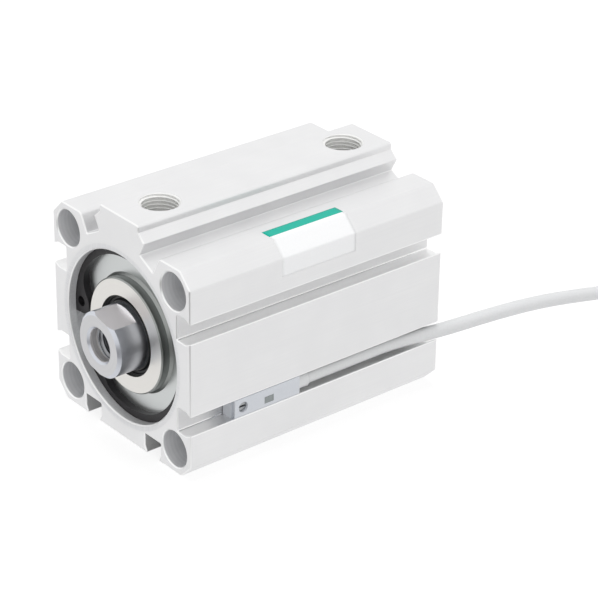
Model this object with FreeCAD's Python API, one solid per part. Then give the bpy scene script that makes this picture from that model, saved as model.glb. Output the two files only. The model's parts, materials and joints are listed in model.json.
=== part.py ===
"""Compact pneumatic cylinder with a magnetic piston and one slot-mounted position switch.

Units are millimetres. The rod axis is Y and the rod end faces -Y. The origin lies on the
axis in the plane of the front face, +Z is up towards the ports, and the switch sits in
the lower slot of the +X side. The rod is drawn fully retracted.
"""
import math
import os

import FreeCAD
import Part

V = FreeCAD.Vector

# Bore, rod and stroke
bore_dia = 40.0
stroke = 35.0
rod_dia = 16.0
running_gap = 0.03            # radial clearance of rod and seals in what guides them
seat_gap = 0.03               # clearance of a piece in the seat that holds it

# Extruded body, seen along the axis
side_wall = 6.0               # bore to side face
corner_chamfer = 3.6
corner_round = 0.8
port_rail_width = 14.6
port_rail_rise = 5.0          # top of the port rail above the body's square
port_rail_side = 1.7          # upright part of the rail's side
port_rail_round = 0.6
edge_round = 0.35

# Slots for switches: a straight pair on three sides and a tilted groove on each side of the port rail
slot_offset = 11.65           # centre of a slot from the middle of its side
slot_mouth = 4.6
slot_width = 6.2              # under the lips
slot_depth = 4.8
slot_lip = 1.65               # depth over which the lips slope out to the full width
slot_corner = 0.3             # round of the floor's corners
slot_mouth_round = 0.15
tilt_at_deg = 24.0            # middle of a tilted groove's floor, round the axis from +Z
tilt_deg = 28.0               # lean of the groove away from the rail
tilt_width = 5.45
tilt_depth = 3.65             # depth of its wall on the rail's side
tilt_wall = 5.0               # bore to the middle of its floor
tilt_round = 1.2              # edge between its outer wall and the body's top

# Corner bolt holes
bolt_edge = 6.0               # hole axis to the body's side
bolt_hole_dia = 5.5
head_hole_dia = 9.0
head_hole_depth = 7.0
hole_break = 0.3

# Rod end of the bore: snap ring, rod cover, bush and seal
seat_step = 1.0               # the covers' seats are this much larger in radius than the bore
ring_depth = 2.3              # front face to snap ring
ring_thick = 1.75
ring_groove_depth = 1.25
ring_width = 3.0              # mean radial width of the ring
ring_offset = 0.4             # the ring's inner circle is moved this far towards its gap
ring_gap_deg = 27.5
ring_gap_at_deg = 200.0       # middle of the gap, from +X towards +Z
ring_lug_radius = 3.0
ring_lug_inset = 2.2          # middle of a lug inside the seat
ring_lug_fillet = 6.0         # hollow arc from a lug into the ring
ring_lug_hole_dia = 2.6
flange_len = 4.95
nose_len = 5.0
boss_dia = 28.0
boss_rise = 2.75              # boss above the cover's flange
port_annulus = 2.5            # air space round the cover's nose
seal_pocket = 1.8             # radial depth of the rod seal's pocket
seal_len = 3.9
seal_inset = 0.6              # seal behind the boss's face
bush_wall = 1.0
bush_len = 7.4
o_ring_thick = 1.9
o_ring_groove = 2.5           # groove width

# Rod
rod_rise = 6.2                # rod end in front of the body when retracted
rod_end_chamfer = 0.75
flat_across = 14.0
flat_len = 6.8
flat_turn_deg = 12.4          # turn of the flats about the axis, as the rod stands
thread_dia = 8.0
thread_depth = 13.0
thread_mouth_dia = 9.2
drill_half_angle_deg = 59.0
tail_dia = 10.0
tail_head_dia = 13.0          # riveted end of the rod's tail
tail_head_len = 1.5

# Piston
piston_gap = 0.2              # piston to bore, radial
piston_main_len = 13.9
piston_boss_len = 2.5
piston_boss_inset = 5.0       # the rear boss is this much smaller in radius than the bore
seal_groove_at = 1.6          # front face of the piston to the seal's groove
seal_groove_len = 3.6
seal_groove_depth = 3.6
magnet_at = 6.2               # front face of the piston to the magnet
magnet_len = 2.8
magnet_wall = 4.8
magnet_sink = 0.5             # magnet below the piston's outside
wear_groove_at = 10.2
wear_groove_len = 2.7
wear_groove_depth = 1.9
wear_split = 1.2
bumper_proud = 1.0
bumper_sink = 1.0
front_bumper_wall = 4.5
front_bumper_inset = 2.0      # bumper's rim inside the nose's rim
rear_bumper_wall = 4.5
rear_bumper_inset = 2.0       # bumper's rim inside the boss's rim
end_gap = 0.05                # bumpers to their stops at each end of the stroke
groove_gap = 0.06             # seals and rings in their grooves

# Head end of the bore
head_cover_thick = 4.8
head_recess = 2.2
head_bevel = 1.0
crimp_lip = 0.8               # rim of the body rolled inwards over the head cover
crimp_rise = 0.55
crimp_trench = 1.3            # width of the trench outside the rolled rim

# Ports
port_thread_dia = 9.73
port_depth = 7.5
port_mouth_dia = 10.0
port_passage_dia = 3.4
port_bottom_slope = 3.0       # run of the port's bottom for each unit that it drops
front_port_inset = 2.5        # port axis behind the covers' seat
rear_port_inset = 2.0         # port axis in front of the head cover

# Position switch
switch_at = 12.75             # front face of the body to the switch
switch_len = 18.85
switch_side_gap = 0.12
switch_rest = 0.09            # switch below the slot's middle, as it lies on the lower wall
switch_floor_gap = 0.25
switch_sink = 0.08            # switch face below the body's side
switch_round = 0.4
switch_face_round = 0.15
switch_end_groove = 0.6       # depth of the groove across the switch's front end
switch_groove_width = 1.2
screw_at = 2.4                # switch end to its set screw
screw_dia = 2.5
screw_hole_gap = 0.06
screw_sink = 0.55
screw_slot = 0.5
screw_slot_depth = 0.7
lens_at = 9.9                 # switch end to the middle of the indicator
lens_len = 2.7
lens_width = 1.75
lens_drop = 0.5               # indicator below the slot's middle
lens_thick = 0.6
pocket_at = 4.65              # switch end to the circuit's pocket
pocket_wall = 0.6
board_thick = 0.8
potting_thick = 1.0

# Cable: it lies in the slot behind the switch, leaves over the rear edge and drops to a coil
cable_dia = 3.4
cable_sink = 2.2              # cable axis below the body's side where it leaves the switch
boot_dia = 4.2
boot_len = 3.4
boot_collar = 2.9             # straight part of the boot, before its taper
boot_lip = 0.05               # boot's small end above the cable
arc_share = 0.45              # share of the shorter run that the arc at a bend takes up
cable_steps = [               # outwards from the boot's end, along, and share of the drop to the coil
    (0.00, 0.0, 0.000),
    (0.00, 14.0, 0.000),
    (-0.10, 27.5, 0.004),
    (2.50, 40.5, 0.010),
    (3.30, 56.5, 0.055),
    (4.20, 72.5, 0.160),
    (5.50, 89.0, 0.387),
    (6.40, 106.0, 0.677),
    (6.90, 122.0, 0.881),
    (7.10, 137.0, 0.983),
    (7.10, 160.0, 1.000),
]
coil_turns_wide = 4
coil_layers = 2
coil_pitch = 3.45             # turn to turn
coil_mean_radius = 20.4
coil_lift = 0.9               # the tie's strap lies under the coil
tie_thick = 0.8
tie_width = 2.5
tie_gap = 0.1
tail_gap = 0.05               # cable's end above the turns that it lies on
tail_steps = [                # from the coil's middle: sideways and along
    (-22.1, 0.0),
    (-19.9, -8.4),
    (-13.5, -15.0),
    (-5.2, -18.3),
    (3.2, -18.3),
    (9.9, -15.8),
]
core_dia = 1.2
core_offset = 0.72            # core axis from the cable's
core_len = 12.0
core_spread = 2.0
core_drop = 0.75
strand_dia = 0.7
strand_len = 4.0

# Places that follow from the sizes above
bore_r = bore_dia / 2
rod_r = rod_dia / 2
half = bore_r + side_wall
rail_top = half + port_rail_rise
seat_r = bore_r + seat_step
bolt_pitch_half = half - bolt_edge
flange_y = ring_depth + ring_thick
boss_y = flange_y - boss_rise
seat_end_y = flange_y + flange_len
nose_end_y = seat_end_y + nose_len
piston_y = nose_end_y + stroke + end_gap + bumper_proud
piston_main_end_y = piston_y + piston_main_len
piston_end_y = piston_main_end_y + piston_boss_len
head_y = piston_end_y + bumper_proud + end_gap
head_end_y = head_y + head_cover_thick
body_len = head_end_y + head_recess
front_port_y = seat_end_y + front_port_inset
rear_port_y = head_y - rear_port_inset
nose_r = bore_r - port_annulus
boss_r = boss_dia / 2
bush_r = rod_r + bush_wall
pocket_r = rod_r + seal_pocket
piston_r = bore_r - piston_gap
piston_boss_r = bore_r - piston_boss_inset
magnet_y = piston_y + magnet_at
magnet_r = piston_r - magnet_sink
spigot_r = magnet_r - magnet_wall
floor_z = -half


def turned(profile, x=0.0, z=0.0):
    """Solid of revolution about a line along Y: profile holds (radius, y) corners."""
    corners = [V(radius, y, 0) for radius, y in profile]
    face = Part.Face(Part.makePolygon(corners + corners[:1]))
    solid = face.revolve(V(0, 0, 0), V(0, 1, 0), 360)
    solid.translate(V(x, 0, z))
    return solid


def bored(profile, y, top_z):
    """Cutter of revolution about a line along Z: profile holds (radius, depth) corners."""
    corners = [V(radius, 0, -depth) for radius, depth in profile]
    face = Part.Face(Part.makePolygon(corners + corners[:1]))
    solid = face.revolve(V(0, 0, 0), V(0, 0, 1), 360)
    solid.translate(V(0, y, top_z))
    return solid


def tube(inner, outer, y0, y1):
    """Plain ring about the rod axis."""
    return turned([(inner, y0), (outer, y0), (outer, y1), (inner, y1)])


def box(low, high):
    """Block between two corners."""
    size = V(*high) - V(*low)
    return Part.makeBox(size.x, size.y, size.z, V(*low))


def rounded_outline(corners):
    """Closed wire in the XZ plane from (x, z, radius) corners, each rounded by its radius."""
    count = len(corners)
    points = [V(x, 0, z) for x, z, radius in corners]
    cuts = []
    for i, (x, z, radius) in enumerate(corners):
        back = (points[i - 1] - points[i]).normalize()
        ahead = (points[(i + 1) % count] - points[i]).normalize()
        half_angle = back.getAngle(ahead) / 2
        reach = radius / math.tan(half_angle)
        inward = (back + ahead).normalize()
        middle = points[i] + inward * (radius / math.sin(half_angle) - radius)
        cuts.append((points[i] + back * reach, middle, points[i] + ahead * reach, radius))
    edges = []
    for i, (start, middle, end, radius) in enumerate(cuts):
        if radius > 0:
            edges.append(Part.Arc(start, middle, end).toShape())
        edges.append(Part.LineSegment(end, cuts[(i + 1) % count][0]).toShape())
    return Part.Wire(edges)


def slot_corners(centre, out, along):
    """Corners of one slot with sloping lips, from the middle of its mouth, the way out and along."""
    steps = [
        (-slot_mouth / 2, 0, slot_mouth_round),
        (-slot_width / 2, slot_lip, 0),
        (-slot_width / 2, slot_depth, slot_corner),
        (slot_width / 2, slot_depth, slot_corner),
        (slot_width / 2, slot_lip, 0),
        (slot_mouth / 2, 0, slot_mouth_round),
    ]
    corners = []
    for across, deep, radius in steps:
        x = centre[0] + along[0] * across - out[0] * deep
        z = centre[1] + along[1] * across - out[1] * deep
        corners.append((x, z, radius))
    return corners


def tilted_groove_corners():
    """Corners of the plain groove beside the rail, from the body's top round its floor to the rail."""
    place = math.radians(tilt_at_deg)
    lean = math.radians(tilt_deg)
    out = V(math.sin(lean), 0, math.cos(lean))
    across = V(math.cos(lean), 0, -math.sin(lean))
    floor = V(math.sin(place), 0, math.cos(place)) * (bore_r + tilt_wall)
    floor_outer = floor + across * (tilt_width / 2)
    floor_inner = floor - across * (tilt_width / 2)
    mouth_inner = floor_inner + out * tilt_depth
    mouth_outer = floor_outer + out * ((half - floor_outer.z) / out.z)
    return [
        (mouth_outer.x, half, tilt_round),
        (floor_outer.x, floor_outer.z, slot_corner),
        (floor_inner.x, floor_inner.z, slot_corner),
        (mouth_inner.x, mouth_inner.z, edge_round),
    ]


def body_outline():
    """Half of the extrusion from the bottom's middle up the +X side, then its mirror image."""
    right = []
    right += slot_corners((slot_offset, -half), (0, -1), (1, 0))
    right += [(half - corner_chamfer, -half, corner_round)]
    right += [(half, -half + corner_chamfer, corner_round)]
    right += slot_corners((half, -slot_offset), (1, 0), (0, 1))
    right += slot_corners((half, slot_offset), (1, 0), (0, 1))
    right += [(half, half - corner_chamfer, corner_round)]
    right += [(half - corner_chamfer, half, corner_round)]
    right += tilted_groove_corners()
    right += [(port_rail_width / 2, rail_top - port_rail_side, 0)]
    right += [(port_rail_width / 2, rail_top, port_rail_round)]
    left = [(-x, z, radius) for x, z, radius in reversed(right)]
    return rounded_outline(right + left)


def bolt_hole_cutter(x, z):
    """Through hole with a head counterbore and a broken edge at both ends."""
    hole_r = bolt_hole_dia / 2
    head_r = head_hole_dia / 2
    mouth_r = head_r + hole_break
    return turned([
        (0, 0), (mouth_r, 0), (head_r, hole_break), (head_r, head_hole_depth),
        (hole_r, head_hole_depth), (hole_r, body_len - head_hole_depth),
        (head_r, body_len - head_hole_depth), (head_r, body_len - hole_break),
        (mouth_r, body_len), (0, body_len),
    ], x, z)


def port_cutter(y):
    """Tapped port with a broken edge and a passage into the bore."""
    thread_r = port_thread_dia / 2
    mouth_r = port_mouth_dia / 2
    passage_r = port_passage_dia / 2
    bore_depth = rail_top - bore_r + seat_step
    return bored([
        (0, 0), (mouth_r, 0), (thread_r, mouth_r - thread_r), (thread_r, port_depth),
        (passage_r, port_depth + (thread_r - passage_r) / port_bottom_slope), (passage_r, bore_depth),
        (0, bore_depth),
    ], y, rail_top)


def cylinder_body():
    """Extruded barrel with stepped bore, snap ring groove, rolled rear rim, ports and bolt holes."""
    barrel = Part.Face(body_outline()).extrude(V(0, body_len, 0))
    groove_r = seat_r + ring_groove_depth
    groove_y = ring_depth - groove_gap
    groove_end_y = flange_y + groove_gap
    bevel_y = head_end_y - head_bevel
    lip_y = bevel_y + crimp_lip
    trench_y = lip_y + crimp_rise
    trench_r = seat_r + crimp_trench
    bore = turned([
        (0, 0), (seat_r + hole_break, 0), (seat_r, hole_break), (seat_r, groove_y),
        (groove_r, groove_y), (groove_r, groove_end_y), (seat_r, groove_end_y),
        (seat_r, seat_end_y), (bore_r, seat_end_y), (bore_r, head_y), (seat_r, head_y),
        (seat_r, bevel_y), (seat_r - crimp_lip, lip_y), (seat_r - crimp_lip / 2, trench_y),
        (trench_r, trench_y), (trench_r, body_len - hole_break),
        (trench_r + hole_break, body_len), (0, body_len),
    ])
    cutters = [bore, port_cutter(front_port_y), port_cutter(rear_port_y)]
    for x in (-bolt_pitch_half, bolt_pitch_half):
        for z in (-bolt_pitch_half, bolt_pitch_half):
            cutters.append(bolt_hole_cutter(x, z))
    return barrel.cut(cutters)


def o_ring(outer, y):
    """Ring of round section, with its outside at a given radius."""
    thin = o_ring_thick / 2
    return Part.makeTorus(outer - thin, thin, V(0, y, 0), V(0, 1, 0))


def rod_cover():
    """Turned front cover: boss, flange with O-ring groove, and a nose with an air space round it."""
    flange_r = seat_r - seat_gap
    groove_r = seat_r - o_ring_thick - groove_gap
    groove_y = flange_y + (flange_len - o_ring_groove) / 2
    edge = hole_break
    fillet = 2 * hole_break
    bush_y = boss_y + seal_inset + seal_len + seat_gap
    return turned([
        (pocket_r, boss_y), (boss_r - edge, boss_y), (boss_r, boss_y + edge),
        (boss_r, flange_y - fillet), (boss_r + fillet, flange_y), (flange_r, flange_y),
        (flange_r, groove_y), (groove_r, groove_y), (groove_r, groove_y + o_ring_groove),
        (flange_r, groove_y + o_ring_groove), (flange_r, seat_end_y), (nose_r, seat_end_y),
        (nose_r, nose_end_y - edge), (nose_r - edge, nose_end_y), (bush_r, nose_end_y),
        (bush_r, bush_y), (pocket_r, bush_y),
    ])


def rod_cover_o_ring():
    return o_ring(seat_r - seat_gap, flange_y + flange_len / 2)


def rod_bush():
    """Plain bearing bush pressed into the rod cover."""
    end_y = nose_end_y - 2 * hole_break
    inner = rod_r + running_gap
    outer = bush_r - seat_gap
    start_y = end_y - bush_len
    edge = hole_break
    return turned([
        (inner, start_y + edge), (inner + edge, start_y), (outer, start_y), (outer, end_y),
        (inner + edge, end_y), (inner, end_y - edge),
    ])


def rod_seal():
    """Lip seal with a wiping lip in front and a pressure lip behind."""
    front_y = boss_y + seal_inset
    back_y = front_y + seal_len
    inner = rod_r + running_gap
    outer = pocket_r - seat_gap
    lip = seal_pocket / 5
    return turned([
        (inner, front_y), (inner + lip, front_y), (inner + 2 * lip, front_y + 2 * lip),
        (outer - 1.5 * lip, front_y + 2 * lip), (outer - lip, front_y + lip),
        (outer, front_y + lip), (outer, back_y), (outer - lip, back_y),
        (outer - 2 * lip, back_y - 3 * lip), (inner + 2 * lip, back_y - 3 * lip),
        (inner + lip, back_y), (inner, back_y), (inner + lip / 2, back_y - 3 * lip),
        (inner + lip / 2, front_y + 3 * lip),
    ])


def lug_web(lug, inner_centre, inner, side):
    """Flat piece that joins a lug to the ring's inner circle by a hollow arc on its far side."""
    to_lug = lug - inner_centre
    near = inner - ring_lug_fillet
    far = ring_lug_radius + ring_lug_fillet
    along = (near ** 2 - far ** 2 + to_lug.Length ** 2) / (2 * to_lug.Length)
    aside = math.sqrt(near ** 2 - along ** 2)
    ahead = V(to_lug).normalize()
    across = V(-ahead.z, 0, ahead.x) * side
    arc_centre = inner_centre + ahead * along + across * aside
    outwards = (arc_centre - inner_centre).normalize()
    on_ring = inner_centre + outwards * inner
    to_arc = (arc_centre - lug).normalize()
    on_lug = lug + to_arc * ring_lug_radius
    bulge = (outwards - to_arc).normalize()
    on_arc = arc_centre + bulge * ring_lug_fillet
    middle_r = inner + ring_width / 3
    between = (outwards + ahead).normalize()
    back = [on_ring] + [inner_centre + way * middle_r for way in (outwards, between, ahead)] + [lug, on_lug]
    edges = [Part.Arc(on_lug, on_arc, on_ring).toShape()]
    edges += [Part.LineSegment(a, b).toShape() for a, b in zip(back, back[1:])]
    return Part.Face(Part.Wire(edges)).extrude(V(0, ring_thick, 0))


def snap_ring():
    """Internal retaining ring: widest opposite its gap, with a drilled lug at each end."""
    outer = seat_r + ring_groove_depth - groove_gap
    inner = outer - ring_width
    towards_gap = V(1, 0, 0) * ring_offset
    axis = V(0, 1, 0)
    start = V(0, ring_depth, 0)
    ring = Part.makeCylinder(outer, ring_thick, start, axis)
    ring = ring.cut(Part.makeCylinder(inner, ring_thick, start + towards_gap, axis))
    half_gap = math.radians(ring_gap_deg) / 2
    reach = 2 * outer
    edge = V(reach * math.cos(half_gap), 0, reach * math.sin(half_gap))
    mirror_edge = V(edge.x, 0, -edge.z)
    wedge = Part.Face(Part.makePolygon([start, start + edge, start + mirror_edge, start]))
    lug_at = seat_r - ring_lug_inset
    lug_angle = half_gap + math.asin(ring_lug_radius / lug_at)
    lugs = []
    holes = []
    for side in (-1, 1):
        centre = V(lug_at * math.cos(lug_angle), ring_depth, side * lug_at * math.sin(lug_angle))
        lugs.append(Part.makeCylinder(ring_lug_radius, ring_thick, centre, axis))
        lugs.append(lug_web(centre, start + towards_gap, inner, side))
        holes.append(Part.makeCylinder(ring_lug_hole_dia / 2, ring_thick, centre, axis))
    ring = ring.cut(wedge.extrude(axis * ring_thick)).fuse(lugs).cut(holes)
    limit = Part.makeCylinder(outer, ring_thick, start, axis)
    ring = ring.common(limit).removeSplitter()
    ring.rotate(V(0, 0, 0), axis, -ring_gap_at_deg)
    return ring


def head_cover():
    """Rear disc with O-ring groove, held by the rolled rim on its bevel."""
    outer = seat_r - seat_gap
    bevel_y = head_end_y - head_bevel - seat_gap
    groove_r = seat_r - o_ring_thick - groove_gap
    groove_y = head_y + (head_cover_thick - head_bevel - o_ring_groove) / 2
    return turned([
        (0, head_y), (outer, head_y), (outer, groove_y), (groove_r, groove_y),
        (groove_r, groove_y + o_ring_groove), (outer, groove_y + o_ring_groove),
        (outer, bevel_y), (outer - head_bevel, bevel_y + head_bevel), (0, bevel_y + head_bevel),
    ])


def head_cover_o_ring():
    return o_ring(seat_r - seat_gap, head_y + (head_cover_thick - head_bevel) / 2)


def piston_rod():
    """Ground rod with wrench flats, a tapped end and a riveted tail that carries the piston."""
    front_y = -rod_rise
    tail_r = tail_dia / 2 - seat_gap
    head_r = tail_head_dia / 2 - seat_gap
    head_start_y = piston_end_y - tail_head_len
    rod = turned([
        (0, front_y), (rod_r - rod_end_chamfer, front_y), (rod_r, front_y + rod_end_chamfer),
        (rod_r, piston_y), (tail_r, piston_y), (tail_r, head_start_y), (head_r, piston_end_y),
        (0, piston_end_y),
    ])
    thread_r = thread_dia / 2
    mouth_r = thread_mouth_dia / 2
    drill_tip = thread_r / math.tan(math.radians(drill_half_angle_deg))
    hole = turned([
        (0, front_y), (mouth_r, front_y), (thread_r, front_y + mouth_r - thread_r),
        (thread_r, front_y + thread_depth), (0, front_y + thread_depth + drill_tip),
    ])
    flat = flat_across / 2
    above = box((-rod_r, front_y, flat), (rod_r, front_y + flat_len, rod_r))
    below = box((-rod_r, front_y, -rod_r), (rod_r, front_y + flat_len, -flat))
    for beside_flat in (above, below):
        beside_flat.rotate(V(0, 0, 0), V(0, 1, 0), flat_turn_deg)
    return rod.cut([hole, above, below])


def piston_front():
    """Rod-side half of the piston, with the seal's groove and the front bumper's seat."""
    bore = tail_dia / 2
    seal_y = piston_y + seal_groove_at
    seal_end_y = seal_y + seal_groove_len
    groove_r = bore_r - seal_groove_depth
    joint_y = magnet_y + magnet_len / 2
    rim = nose_r - front_bumper_inset
    rim_in = rim - front_bumper_wall
    gasket_y = piston_y + bumper_sink
    gasket_r = bore + o_ring_thick + groove_gap
    sunk_y = piston_y + bumper_sink
    return turned([
        (bore, piston_y), (rim_in, piston_y), (rim_in, sunk_y), (rim, sunk_y), (rim, piston_y),
        (piston_r - hole_break, piston_y), (piston_r, piston_y + hole_break), (piston_r, seal_y),
        (groove_r, seal_y), (groove_r, seal_end_y), (piston_r, seal_end_y), (piston_r, magnet_y),
        (spigot_r, magnet_y), (spigot_r, joint_y), (bore, joint_y),
        (bore, gasket_y + o_ring_groove), (gasket_r, gasket_y + o_ring_groove),
        (gasket_r, gasket_y), (bore, gasket_y),
    ])


def piston_rear():
    """Head-side half of the piston, with the wear ring's groove and the rear bumper's seat."""
    bore = tail_dia / 2
    joint_y = magnet_y + magnet_len / 2
    start_y = magnet_y + magnet_len
    wear_y = piston_y + wear_groove_at
    wear_end_y = wear_y + wear_groove_len
    groove_r = bore_r - wear_groove_depth
    rim = piston_boss_r - rear_bumper_inset
    rim_in = rim - rear_bumper_wall
    sunk_y = piston_end_y - bumper_sink
    head_r = tail_head_dia / 2
    return turned([
        (bore, joint_y), (spigot_r, joint_y), (spigot_r, start_y), (piston_r, start_y),
        (piston_r, wear_y), (groove_r, wear_y), (groove_r, wear_end_y), (piston_r, wear_end_y),
        (piston_r, piston_main_end_y - hole_break), (piston_r - hole_break, piston_main_end_y),
        (piston_boss_r, piston_main_end_y), (piston_boss_r, piston_end_y), (rim, piston_end_y),
        (rim, sunk_y), (rim_in, sunk_y), (rim_in, piston_end_y), (head_r, piston_end_y),
        (bore, piston_end_y - tail_head_len),
    ])


def magnet_ring():
    return tube(spigot_r + seat_gap, magnet_r, magnet_y, magnet_y + magnet_len)


def piston_seal():
    """Two-lipped packing that seals both ways, clear of its groove and of the bore."""
    start_y = piston_y + seal_groove_at + groove_gap
    end_y = start_y + seal_groove_len - 2 * groove_gap
    inner = bore_r - seal_groove_depth + groove_gap
    outer = bore_r - running_gap
    lip = (end_y - start_y) / 5
    waist = outer - lip
    return turned([
        (inner, start_y + lip), (inner + lip, start_y), (waist, start_y), (outer, start_y + lip / 2),
        (outer, start_y + 1.5 * lip), (waist, start_y + 2 * lip), (waist, end_y - 2 * lip),
        (outer, end_y - 1.5 * lip), (outer, end_y - lip / 2), (waist, end_y), (inner + lip, end_y),
        (inner, end_y - lip),
    ])


def wear_ring():
    """Split guide ring that keeps the piston off the bore."""
    start_y = piston_y + wear_groove_at + groove_gap
    end_y = start_y + wear_groove_len - 2 * groove_gap
    ring = tube(bore_r - wear_groove_depth + groove_gap, bore_r - running_gap, start_y, end_y)
    split = box((-wear_split / 2, start_y, -bore_r), (wear_split / 2, end_y, 0))
    return ring.cut(split)


def piston_o_ring():
    middle_y = piston_y + bumper_sink + o_ring_groove / 2
    return o_ring(tail_dia / 2 + o_ring_thick, middle_y)


def bumper(rim, wall, y0, y1):
    """Rubber stop ring in a shallow seat of the piston."""
    inner = rim - wall + groove_gap
    outer = rim - groove_gap
    edge = hole_break
    return turned([
        (inner, y0 + edge), (inner + edge, y0), (outer - edge, y0), (outer, y0 + edge),
        (outer, y1 - edge), (outer - edge, y1), (inner + edge, y1), (inner, y1 - edge),
    ])


def front_bumper():
    rim = nose_r - front_bumper_inset
    return bumper(rim, front_bumper_wall, piston_y - bumper_proud, piston_y + bumper_sink)


def rear_bumper():
    rim = piston_boss_r - rear_bumper_inset
    return bumper(rim, rear_bumper_wall, piston_end_y - bumper_sink, piston_end_y + bumper_proud)


# The switch is laid out across its slot: x from the slot's floor outwards, z about its middle
cable_z = -slot_offset
switch_z = cable_z - switch_rest
switch_face_x = half - switch_sink
switch_floor_x = half - slot_depth + switch_floor_gap
switch_neck_x = half - slot_lip
switch_end_y = switch_at + switch_len
pocket_y = switch_at + pocket_at
pocket_x = switch_floor_x + potting_thick + board_thick
pocket_half = slot_width / 2 - switch_side_gap - pocket_wall


def switch_housing():
    """Moulded case that fills its slot: shoulders slope under the lips to a narrower face."""
    wide = slot_width / 2 - switch_side_gap
    lip_slope = (slot_width - slot_mouth) / 2 / slot_lip
    narrow = wide - lip_slope * (switch_face_x - switch_neck_x)
    outline = rounded_outline([
        (switch_floor_x, switch_z - wide, switch_round),
        (switch_neck_x, switch_z - wide, switch_round),
        (switch_face_x, switch_z - narrow, switch_face_round),
        (switch_face_x, switch_z + narrow, switch_face_round),
        (switch_neck_x, switch_z + wide, switch_round),
        (switch_floor_x, switch_z + wide, switch_round),
    ])
    outline.translate(V(0, switch_at, 0))
    case = Part.Face(outline).extrude(V(0, switch_len, 0))
    end_groove = box(
        (switch_neck_x, switch_at, switch_z - wide),
        (switch_neck_x + switch_groove_width, switch_at + switch_end_groove, switch_z + wide),
    )
    screw_hole = Part.makeCylinder(
        screw_dia / 2 + screw_hole_gap, slot_depth,
        V(half - slot_depth, switch_at + screw_at, switch_z), V(1, 0, 0),
    )
    lens_z = switch_z - lens_drop
    lens_y = switch_at + lens_at
    lens_seat = box(
        (switch_face_x - lens_thick, lens_y - lens_len / 2, lens_z - lens_width / 2),
        (switch_face_x, lens_y + lens_len / 2, lens_z + lens_width / 2),
    )
    pocket = box(
        (switch_floor_x, pocket_y, switch_z - pocket_half),
        (pocket_x, switch_end_y - pocket_wall, switch_z + pocket_half),
    )
    return case.cut([end_groove, screw_hole, lens_seat, pocket])


def switch_set_screw():
    """Slotted set screw that bears on the slot's floor and wedges the switch under the lips."""
    start_x = half - slot_depth + seat_gap
    end_x = switch_face_x - screw_sink
    y = switch_at + screw_at
    screw = Part.makeCylinder(screw_dia / 2, end_x - start_x, V(start_x, y, switch_z), V(1, 0, 0))
    slot = box(
        (end_x - screw_slot_depth, y - screw_dia, switch_z - screw_slot / 2),
        (end_x, y + screw_dia, switch_z + screw_slot / 2),
    )
    return screw.cut(slot)


def switch_lens():
    """Clear window over the indicator lamp, flush with the switch's face."""
    lens_z = switch_z - lens_drop
    lens_y = switch_at + lens_at
    return box(
        (switch_face_x - lens_thick, lens_y - lens_len / 2 + seat_gap, lens_z - lens_width / 2 + seat_gap),
        (switch_face_x, lens_y + lens_len / 2 - seat_gap, lens_z + lens_width / 2 - seat_gap),
    )


def switch_circuit_board():
    """Board with the magnetic sensor, at the bottom of the case's pocket."""
    return box(
        (pocket_x - board_thick, pocket_y + seat_gap, switch_z - pocket_half + seat_gap),
        (pocket_x, switch_end_y - pocket_wall - seat_gap, switch_z + pocket_half - seat_gap),
    )


def switch_potting():
    """Resin that closes the case's pocket over the board."""
    return box(
        (switch_floor_x, pocket_y + seat_gap, switch_z - pocket_half + seat_gap),
        (pocket_x - board_thick, switch_end_y - pocket_wall - seat_gap, switch_z + pocket_half - seat_gap),
    )


boot_x = half - cable_sink
boot_end_y = switch_end_y + boot_len


def cable_boot():
    """Strain relief: a collar on the switch's end that tapers down to the cable."""
    boot_r = boot_dia / 2
    small_r = cable_dia / 2 + boot_lip
    return turned([
        (0, switch_end_y), (boot_r, switch_end_y), (boot_r, switch_end_y + boot_collar),
        (small_r, boot_end_y), (0, boot_end_y),
    ], boot_x, cable_z)


def rounded_route(points):
    """Straight runs joined by arcs, each arc as large as its share of the shorter run allows."""
    edges = []
    radii = []
    start = points[0]
    for before, corner, after in zip(points, points[1:], points[2:]):
        back = before - corner
        ahead = after - corner
        reach = arc_share * min(back.Length, ahead.Length)
        turn = math.pi - back.getAngle(ahead)
        radius = reach / math.tan(turn / 2)
        back.normalize()
        ahead.normalize()
        inward = (back + ahead).normalize()
        arc_start = corner + back * reach
        arc_end = corner + ahead * reach
        middle = corner + inward * (radius / math.cos(turn / 2) - radius)
        edges.append(Part.LineSegment(start, arc_start).toShape())
        edges.append(Part.Arc(arc_start, middle, arc_end).toShape())
        radii.append(radius)
        start = arc_end
    edges.append(Part.LineSegment(start, points[-1]).toShape())
    return Part.Wire(edges), radii


def route_tube(points, diameter, label):
    """Round tube along a route, with its arcs' radii and its volume's error printed."""
    wire, radii = rounded_route(points)
    start_edge = wire.Edges[0]
    along = start_edge.tangentAt(start_edge.FirstParameter)
    ring = Part.Wire(Part.makeCircle(diameter / 2, points[0], along))
    solid = wire.makePipeShell([ring], True, False)
    expected = math.pi * diameter ** 2 / 4 * wire.Length
    print(label, "length", round(wire.Length, 1), "volume ratio", round(solid.Volume / expected, 4),
          "radii", [round(radius, 1) for radius in radii])
    return solid


# The cable ends in the outer turn of the coil's lower layer
coil_bottom = floor_z + coil_lift
coil_top = coil_bottom + cable_dia * coil_layers
cable_drop = coil_bottom + cable_dia / 2 - cable_z
cable_route = [
    V(boot_x + outwards, boot_end_y + along, cable_z + share * cable_drop)
    for outwards, along, share in cable_steps
]
coil_half_width = (coil_pitch * (coil_turns_wide - 1) + cable_dia) / 2
coil_outer = coil_mean_radius + coil_half_width
coil_inner = coil_mean_radius - coil_half_width
coil_x = cable_route[-1].x - coil_outer + cable_dia / 2
coil_y = cable_route[-1].y
tail_z = coil_top + tail_gap + cable_dia / 2
tail_route = [V(coil_x + sideways, coil_y + along, tail_z) for sideways, along in tail_steps]


def switch_cable():
    return route_tube(cable_route, cable_dia, "cable")


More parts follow.
